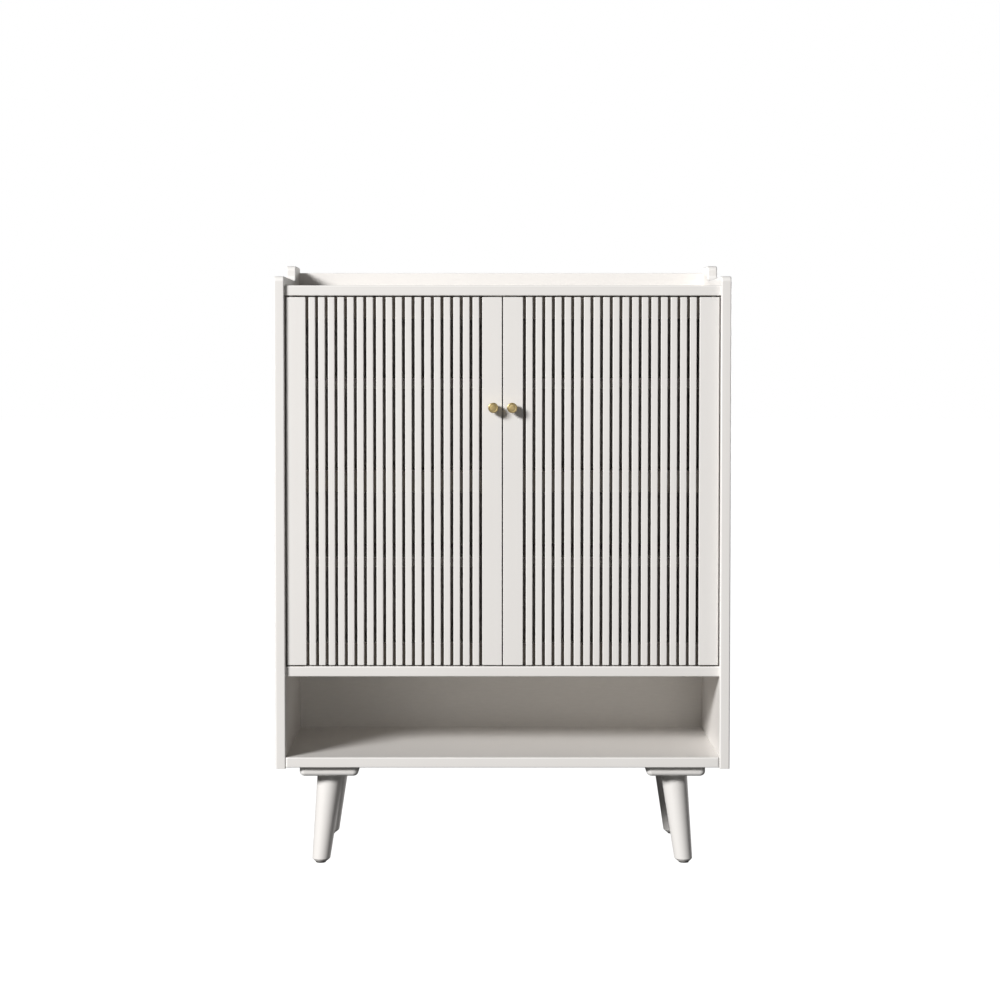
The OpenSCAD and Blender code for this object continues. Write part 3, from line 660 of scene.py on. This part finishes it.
def stile(side, kind):
    node = f"door_{side}_{kind}_stile"
    low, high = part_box(node)
    outer = low.x if side == "left" else high.x
    piece = block(low, high)
    if kind == "hinge":
        round_edges(piece, HINGE_ROUND,
                    lambda m, a, t: abs(a.z) > 0.99 and m.y < low.y + EPS and abs(m.x - outer) < EPS, 4)
    round_edges(piece, STILE_ROUND, lambda m, a, t: t > 40 and abs(a.z) > 0.99, 3)
    round_edges(piece, 0.5, lambda m, a, t: t > 40 and (m.z < low.z + EPS or m.z > high.z - EPS), 2)
    cut(piece, f"door_{side}_rails")
    if kind == "hinge":
        for pin in solids(f"door_{side}_washers"):
            middle = (pin[0] + pin[1]) / 2
            cut(piece, rod(middle, 3, 24, (0, 0, 1)))
        cut(piece, f"door_{side}_hinge_leaves", f"door_{side}_leaf_screws")
    else:
        cut(piece, f"knob_screw_{side}", f"door_{side}_strike_screw")
    return stand_for(piece, node)


def door_rails(side):
    node = f"door_{side}_rails"
    piece = None
    for low, high in solids(node):
        rail = round_edges(block(low, high), 0.6, sharp, 2)
        if piece:
            only(piece)
            rail.select_set(True)
            bpy.ops.object.join()
        else:
            piece = rail
    stand_for(cut(piece, f"door_{side}_strike_screw"), node)
    # The rails' front faces, seen at the bottom of the slots, are marked for the dark painted shade that makes the
    # slots look deep.
    mark_faces(piece, "bare_edge_and_slot_shade", lambda normal: normal.y < -0.9)
    return piece


for side in ("left", "right"):
    made = [stile(side, "hinge"), stile(side, "meeting"), door_rails(side)]
    print(side, "door:", [f"{p.name} {len(p.data.polygons)} faces" for p in made])

# %% [markdown]
# ## Legs
# A leg is turned between centres as a taper, then sawn off level at the top and at the foot, because it stands at an
# angle. A bevel round the foot keeps the edge from chipping. The lathe is copied here: a profile is drawn as a chain
# of points and spun round its axis. Bisect is the saw.

# %% The lathe
def turned(profile, foot, axis, steps=48):
    """Spins a profile of (radius, height) points, in mm, round an axis through a point. Heights run along the axis."""
    bpy.ops.object.select_all(action="DESELECT")
    bpy.ops.mesh.primitive_plane_add(size=MM)
    piece = bpy.context.object
    bpy.ops.object.mode_set(mode="EDIT")
    bpy.context.tool_settings.mesh_select_mode = (True, False, False)
    bpy.ops.mesh.select_all(action="SELECT")
    bpy.ops.mesh.merge(type="CENTER")
    bpy.ops.transform.translate(value=(profile[0][0] * MM, 0, profile[0][1] * MM))
    for at, to in zip(profile, profile[1:]):
        step = ((to[0] - at[0]) * MM, 0, (to[1] - at[1]) * MM)
        bpy.ops.mesh.extrude_vertices_move(TRANSFORM_OT_translate={"value": step})
    bpy.ops.mesh.select_all(action="SELECT")
    bpy.ops.mesh.spin(steps=steps, angle=2 * math.pi, center=(0, 0, 0), axis=(0, 0, 1))
    bpy.ops.mesh.select_all(action="SELECT")
    bpy.ops.mesh.remove_doubles(threshold=0.002 * MM)
    bpy.ops.mesh.normals_make_consistent(inside=False)
    bpy.ops.object.mode_set(mode="OBJECT")
    turn = Vector((0, 0, 1)).rotation_difference(Vector(axis))
    piece.data.transform(Matrix.Translation(foot) @ turn.to_matrix().to_4x4())
    return piece


def arc(centre, radius, start, end, points=5):
    """Points of (radius, height) along a round, between two angles in degrees."""
    angles = [math.radians(start + (end - start) * i / (points - 1)) for i in range(points)]
    return [(centre[0] + radius * math.cos(a), centre[1] + radius * math.sin(a)) for a in angles]


print("a quarter round of 2 mm in five points:", [(round(r, 2), round(h, 2)) for r, h in arc((0, 0), 2, 0, 90)])

# %% [markdown]
# The taper's axis runs from the middle of the foot, above its glide, to the middle of the leg's top. Both come from
# the frame: the glide gives the foot, and the leg plate gives the middle of the top.

# %% Turn, saw and bevel the legs
TOP_DIAMETER = 47     # mm
FOOT_DIAMETER = 31    # mm
SPARE = 15            # mm of extra length at both ends, before sawing
FOOT_BEVEL = 5        # mm


def leg(node, glide):
    low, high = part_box(node)
    bottom = Vector(((glide[0].x + glide[1].x) / 2, (glide[0].y + glide[1].y) / 2, 0))
    plate_low, plate_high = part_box(node.replace("leg_", "leg_plate_"))
    top = Vector(((plate_low.x + plate_high.x) / 2, (plate_low.y + plate_high.y) / 2, high.z))
    length = (top - bottom).length / MM
    grow = (TOP_DIAMETER - FOOT_DIAMETER) / 2 / length
    ends = [-SPARE, length + SPARE]
    profile = [(0, ends[0])] + [(FOOT_DIAMETER / 2 + h * grow, h) for h in ends] + [(0, ends[1])]
    piece = turned(profile, bottom, top - bottom, 64)
    only(piece)
    for height, normal in ((high.z, 1), (low.z, -1)):
        bpy.ops.object.mode_set(mode="EDIT")
        bpy.ops.mesh.select_all(action="SELECT")
        bpy.ops.mesh.bisect(plane_co=(0, 0, height), plane_no=(0, 0, normal), use_fill=True, clear_outer=True)
        bpy.ops.object.mode_set(mode="OBJECT")
    round_edges(piece, FOOT_BEVEL, lambda m, a, t: t > 40 and m.z < low.z + EPS, 1)
    round_edges(piece, 0.7, lambda m, a, t: t > 25 and m.z < low.z + 12 * MM, 2)
    cut(piece, "leg_bolts")
    return stand_for(piece, node, arrises=False)


glides = solids("foot_glides")
for side in ("left", "right"):
    for end in ("front", "rear"):
        near = [g for g in glides if (g[0].x > 0) == (side == "right") and (g[0].y > 0) == (end == "rear")]
        made = leg(f"leg_{end}_{side}", near[0])
        print(made.name, [round(c / MM, 1) for c in made.dimensions])

# %% [markdown]
# ## Leg plates and glides
# Each leg is bolted to a square plate, and the plate is screwed under the bottom board. Its upright corners are
# rounded first and its lower edges afterwards, so that one smooth round runs all the way. The glides are small
# nylon discs with a rounded rim, and they are turned like the legs.

# %% Leg plates and glides
PLATE_CORNER = 10     # mm
PLATE_ROUND = 8       # mm, lower edges


def leg_plate(node):
    low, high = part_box(node)
    piece = block(low, high)
    round_edges(piece, PLATE_CORNER, lambda m, a, t: abs(a.z) > 0.99, 8)
    round_edges(piece, PLATE_ROUND, lambda m, a, t: t > 40 and m.z < low.z + EPS, 7)
    cut(piece, "leg_bolts", "leg_plate_screws")
    return stand_for(piece, node)


for side in ("left", "right"):
    for end in ("front", "rear"):
        leg_plate(f"leg_plate_{end}_{side}")


def joined(pieces):
    """Joins several objects into the first one."""
    only(pieces[0])
    for other in pieces[1:]:
        other.select_set(True)
    if len(pieces) > 1:
        bpy.ops.object.join()
    return pieces[0]


discs = []
for low, high in glides:
    radius, height = (high.x - low.x) / 2 / MM, (high.z - low.z) / MM
    rim = arc((radius - 0.8, 0.8), 0.8, -90, 0)
    foot = Vector(((low.x + high.x) / 2, (low.y + high.y) / 2, low.z))
    discs.append(turned([(0, 0.2), (radius - 2.4, 0.2), (radius - 2, 0)] + rim + [(radius, height), (0, height)], foot,
                        (0, 0, 1), 40))
stand_for(joined(discs), "foot_glides", arrises=False)
print("four plates and", len(discs), "glides")

# %% [markdown]
# ## Knobs
# The knobs are turned from brass bar: a thin flange against the door, a neck for the fingertips, and a drum with a
# softly rounded rim. A shallow dish is turned into the front face. The profile is blind-bored from behind for its
# screw. Turning leaves fine rings, so each knob gets its own brass, whose rings are centred on its axis with a
# Mapping node. Real rings are a tenth of a millimetre apart, and they are drawn 0.7 mm apart so that they show.

# %% Turned brass
def turned_brass(name, axis_point):
    material, tree, shader, place = new_finish(name, Metallic=1.0)
    centred = add(tree, "ShaderNodeMapping", {"Vector": place, "Location": -axis_point})
    rings = add(tree, "ShaderNodeTexWave", {"Vector": centred.outputs["Vector"], "Scale": per_metre(0.7) / 20,
                                            "Distortion": 0.4, "Detail": 1.0}, wave_type="RINGS", rings_direction="Y")
    cloud = add(tree, "ShaderNodeTexNoise", {"Vector": place, "Scale": per_metre(5), "Detail": 3.0})
    tone = mix(tree, cloud.outputs["Fac"], linear("#b8a06a"), linear("#d2bd8c"))
    rough = add(tree, "ShaderNodeMapRange", {"Value": rings.outputs["Fac"], "To Min": 0.3, "To Max": 0.42})
    bump = add(tree, "ShaderNodeBump", {"Height": rings.outputs["Fac"], "Distance": 0.015 * MM, "Strength": 0.6})
    feed(tree, shader, Base_Color=tone, Roughness=rough.outputs["Result"], Normal=bump.outputs["Normal"])
    return material


for side in ("left", "right"):
    low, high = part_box("knob_" + side)
    print(side, "knob: the rings are centred at x =", round((low.x + high.x) / 2 / MM, 1), "mm")

# %% [markdown]
# The profile runs from the bore out along the flange, in along the neck and out again round the head. Each corner is
# an arc, because a sharp inner corner would need a pointed tool and a sharp outer one would cut a finger.

# %% Turn the knobs
FLANGE = 7.0          # mm, radius of the flange
FLANGE_THICK = 1.5    # mm
NECK = 4.5            # mm, radius of the neck
HEAD_LENGTH = 12      # mm
BORE = 2.05           # mm, radius of the screw's bore


def knob(side):
    node = "knob_" + side
    low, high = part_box(node)
    screw_low, screw_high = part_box("knob_screw_" + side)
    axis_point = Vector(((low.x + high.x) / 2, high.y, (low.z + high.z) / 2))
    length, radius = (high.y - low.y) / MM, (high.x - low.x) / 2 / MM
    depth = (high.y - screw_low.y) / MM
    head = length - HEAD_LENGTH
    profile = [(0, depth), (BORE, depth), (BORE, 0), (FLANGE - 0.3, 0)] + arc((FLANGE - 0.3, 0.3), 0.3, -90, 0, 3)
    profile += arc((FLANGE - 0.5, FLANGE_THICK - 0.5), 0.5, 0, 90, 4)
    profile += arc((NECK + 1.4, FLANGE_THICK + 1.4), 1.4, -90, -180, 4)
    profile += arc((NECK + 1.2, head - 1.2), 1.2, 180, 90, 4) + arc((radius - 1.0, head + 1.0), 1.0, -90, 0, 4)
    profile += arc((radius - 1.2, length - 1.2), 1.2, 0, 90, 5)
    profile += [(radius - 2.2, length), (radius - 2.7, length - 0.3), (2, length - 0.45), (0, length - 0.45)]
    piece = turned(profile, axis_point, (0, -1, 0), 72)
    stand_for(piece, node, arrises=False)
    piece.data.materials[0] = turned_brass("Turned brass, " + side, axis_point)
    return piece


for side in ("left", "right"):
    made = knob(side)
    print(made.name, [round(c / MM, 1) for c in made.dimensions], "mm")

# %% [markdown]
# ## Screws
# A screw shows its head and nothing else, so the head has to be right: a flat countersunk head is flush with the wood,
# a pan head stands proud, and both have a cross recess for the driver. One screw of each kind is turned and its
# recess is cut, and then it is copied to every place where the frame has that screw.

# %% Shape of a screw
def cross(radius, depth):
    """A cutter for the recess: two crossed bars that get narrower towards the tip."""
    bars = []
    for turn in (0, 90):
        half = Vector((1.2 * radius, 0.26 * radius, depth)) * MM / 2
        bar = block(-half, half)
        for vertex in bar.data.vertices:
            if vertex.co.z > 0:
                vertex.co.x *= 0.45
                vertex.co.y *= 0.7
        bar.data.transform(Matrix.Rotation(math.radians(turn), 4, "Z"))
        bars.append(bar)
    return bars


def screw(radius, shank, sink, length, pan=0):
    """A screw along +Z with its head at z = 0: countersunk, or with a pan head of some height. All in mm."""
    if pan:
        head = [(0, -pan)] + arc((radius - 0.9, 0.9 - pan), 0.9, -90, 0) + [(radius, 0), (shank, 0)]
    else:
        head = [(0, 0.05), (radius - 0.25, 0.05), (radius, 0.25), (shank, sink)]
    piece = turned(head + [(shank, length - 2 * shank), (0, length)], Vector(), (0, 0, 1), 24)
    return cut(piece, *cross(radius, 2 * (pan * 0.75 or sink * 0.6)))


trial = screw(4, 2, 2, 16)
print("a countersunk screw has", len(trial.data.polygons), "faces")
bpy.data.objects.remove(trial)

# %% [markdown]
# The frame gives each screw's diameter, its length and where its head is, so only the shank and the kind of head are
# named here.

# %% Place the screws
def place_screws(node, axis, shank, sink, pan=0):
    """Puts a copy of one screw wherever the frame has one. The axis is the way that the screws point."""
    axis = Vector(axis)
    boxes = solids(node)
    across = 1 if abs(axis.x) > 0.5 else 0
    radius = (boxes[0][1][across] - boxes[0][0][across]) / 2 / MM
    along = max(range(3), key=lambda k: abs(axis[k]))
    length = (boxes[0][1][along] - boxes[0][0][along]) / MM - pan
    model = screw(radius, shank, sink, length, pan)
    turn = Vector((0, 0, 1)).rotation_difference(axis).to_matrix().to_4x4()
    copies = []
    for low, high in boxes:
        head = (low + high) / 2
        head[along] = (low if axis[along] > 0 else high)[along] + pan * MM * axis[along]
        copy = model.copy()
        copy.data = model.data.copy()
        copy.data.transform(Matrix.Translation(head) @ turn)
        bpy.context.scene.collection.objects.link(copy)
        copies.append(copy)
    bpy.data.objects.remove(model)
    return copies


def finished_screws(node, axis, shank, sink, pan=0):
    piece = stand_for(joined(place_screws(node, axis, shank, sink, pan)), node, arrises=False)
    print(piece.name, len(solids(node)), "screws")
    return piece


finished_screws("leg_plate_screws", (0, 0, 1), 2, 2)
finished_screws("catch_screws", (0, 0, 1), 1.5, 1.5)
finished_screws("back_panel_screws", (0, -1, 0), 1.6, 0, 1.8)
for side in ("left", "right"):
    finished_screws(f"door_{side}_strike_screw", (0, -1, 0), 1.25, 1.15)
    finished_screws(f"knob_screw_{side}", (0, -1, 0), 2, 0, 2.4)

# %% [markdown]
# The hinge screws point up at the top hinges and down at the bottom ones, so they can't share one axis. The frame's
# boxes are split by height first.

# %% Hinge screws
def hinge_screws(node, top_axis):
    """Screws at the upper hinges point along top_axis (1 is up), and those at the lower hinges the other way."""
    boxes = solids(node)
    middle = sum(a.z + b.z for a, b in boxes) / 2 / len(boxes)
    copies = []
    for upper in (True, False):
        axis = top_axis if upper else -top_axis
        for low, high in boxes:
            if (low.z > middle) == upper:
                piece = screw(2.7, 1.4, 1.3, (high.z - low.z) / MM)
                head = Vector(((low.x + high.x) / 2, (low.y + high.y) / 2, low.z if axis > 0 else high.z))
                piece.data.transform(Matrix.Translation(head) @ Matrix.Rotation(0 if axis > 0 else math.pi, 4, "X"))
                copies.append(piece)
    return stand_for(joined(copies), node, arrises=False)


hinge_screws("frame_leaf_screws", 1)
for side in ("left", "right"):
    hinge_screws(f"door_{side}_leaf_screws", -1)
print("hinge screws are in")

# %% [markdown]
# ## Small fittings
# Hinge leaves, cam discs, shelf pins, the catch and its strikes are stamped, cast or moulded. Their CAD shape is
# right, but every real one has a broken edge. A copy of each solid is merged, its flat faces are cleaned up with a
# limited dissolve, and its sharp edges are bevelled by a fraction of a millimetre.

# %% Break the edges of the fittings
def broken_edges(node, width):
    piece = merged_copy(node)
    bpy.ops.object.mode_set(mode="EDIT")
    bpy.ops.mesh.select_all(action="SELECT")
    bpy.ops.mesh.dissolve_limited(angle_limit=math.radians(1))
    bpy.ops.object.mode_set(mode="OBJECT")
    round_edges(piece, width, sharp, 2)
    return stand_for(piece, node, arrises=False)


fittings = {"cam_discs": 0.25, "shelf_pins": 0.4, "magnetic_catch": 0.6, "catch_magnets": 0.3,
            "frame_leaf_top_left": 0.2, "frame_leaf_top_right": 0.2, "frame_leaf_bottom_left": 0.2,
            "frame_leaf_bottom_right": 0.2}
for side in ("left", "right"):
    fittings.update({f"door_{side}_hinge_leaves": 0.2, f"door_{side}_strike_plate": 0.25})
for node, width in fittings.items():
    made = broken_edges(node, width)
    print(made.name, len(made.data.polygons), "faces")

# %% [markdown]
# ## Studio
# The cabinet stands on a plain pale floor that reaches far past it on every side, so it can be looked at from all
# round. The floor is one big plane with a faint mottle, like painted boards.

# %% Floor
def paper(name, dark, light):
    material, tree, shader, place = new_finish(name, Roughness=0.9)
    mottle = add(tree, "ShaderNodeTexNoise", {"Vector": place, "Scale": per_metre(500), "Detail": 2.0})
    feed(tree, shader, Base_Color=mix(tree, mottle.outputs["Fac"], linear(dark), linear(light)))
    return material


bpy.ops.object.select_all(action="DESELECT")
bpy.ops.mesh.primitive_plane_add(size=60, location=(0, 0, 0))
floor = bpy.context.object
floor.name = "floor"
floor.data.materials.append(paper("White painted floor", "#fafafa", "#ffffff"))
floor.visible_diffuse = False
floor.visible_glossy = False
print("the floor is", [round(c) for c in floor.dimensions[:2]], "m")

# %% [markdown]
# The light comes from one softbox far to the left, a little above the cabinet. Its distance keeps the light even from
# side to side, and its size sets how soft the shadows are. A weak light beside the camera fills the shadows just
# enough to keep their shape, and two more behind the cabinet keep its back from being lost. None of them falls on the
# floor. The floor has a lamp of its own, which nothing else receives, so that it stays white as in a catalogue without
# washing out the edges of the cabinet.

# %% Lights
def linked(light, kind):
    """Links a light to the floor: INCLUDE makes it light only the floor, EXCLUDE all but the floor."""
    group = bpy.data.collections.new(light.name + "_link")
    group.objects.link(floor)
    light.light_linking.receiver_collection = group
    group.collection_objects[0].light_linking.link_state = kind
    return group


def softbox(name, away, azimuth, elevation, width, height, watts):
    """An area light that looks at the middle of the cabinet. Azimuth 0 is in front, and negative is left."""
    target = Vector((0, 0, (cad_box[0].z + cad_box[1].z) / 2))
    a, e = math.radians(azimuth), math.radians(elevation)
    spot = target + away * Vector((math.sin(a) * math.cos(e), -math.cos(a) * math.cos(e), math.sin(e)))
    light = bpy.data.lights.new(name, "AREA")
    light.shape = "RECTANGLE"
    light.size, light.size_y = width, height
    light.energy = watts
    lamp = bpy.data.objects.new(name, light)
    lamp.location = spot
    lamp.rotation_euler = (target - spot).to_track_quat("-Z", "Y").to_euler()
    bpy.context.scene.collection.objects.link(lamp)
    linked(lamp, "EXCLUDE")
    return lamp


softbox("key", 12.0, -42, 23, 3.6, 2.0, 1800)
softbox("fill", 6.0, 8, -4, 2.0, 2.0, 36)
softbox("rear_left", 8.0, -160, 5, 2.0, 2.0, 200)
softbox("rear_right", 8.0, 135, 5, 2.0, 2.0, 330)
overhead = bpy.data.objects.new("overhead", bpy.data.lights.new("overhead", "SUN"))
overhead.data.energy = 3.3
overhead.data.angle = math.radians(40)
bpy.context.scene.collection.objects.link(overhead)
overhead.light_linking.blocker_collection = linked(overhead, "INCLUDE")

# %% [markdown]
# What the camera sees behind the cabinet is plain white, but that white must not shine on the cabinet, or the slots
# would fill with light. A Light Path node tells the two apart.

# %% Surround
world = bpy.data.worlds.new("surround")
bpy.context.scene.world = world
world.use_nodes = True
tree = world.node_tree
SEEN, SHINING = 1.0, 0.05  # strength of the white towards the camera, and towards the cabinet
direct = add(tree, "ShaderNodeLightPath").outputs["Is Camera Ray"]
strength = add(tree, "ShaderNodeMapRange", {"Value": direct, "To Min": SHINING, "To Max": SEEN})
tree.nodes["Background"].inputs["Color"].default_value = (1, 1, 1, 1)
tree.links.new(strength.outputs["Result"], tree.nodes["Background"].inputs["Strength"])
print("the white shines on the cabinet with a strength of", SHINING)

# %% [markdown]
# ## Camera
# The camera is four metres in front of the side panels, a little to the left and below the top board. A long lens
# keeps the uprights nearly parallel. It looks down by only two degrees, and a small shift of the lens does the rest.

# %% Camera
FOCAL_LENGTH = 79.65  # mm, on a sensor 36 mm wide
AWAY = 3.871          # m, from the front of the side panels
EYE_HEIGHT = 0.893    # m
ASIDE = -0.0295       # m, from the middle of the cabinet
LOOK_DOWN = 2.292     # degrees

lens = bpy.data.cameras.new("camera")
lens.sensor_width = 36
lens.lens = FOCAL_LENGTH
lens.shift_x, lens.shift_y = 0.0142, -0.05
camera = bpy.data.objects.new("camera", lens)
camera.location = (ASIDE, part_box("side_panel_left")[0].y - AWAY, EYE_HEIGHT)
camera.rotation_euler = (math.radians(90 - LOOK_DOWN), 0, 0)
bpy.context.scene.collection.objects.link(camera)
bpy.context.scene.camera = camera
bpy.context.scene.view_settings.view_transform = "Standard"
print("camera at", [round(c, 3) for c in camera.location])
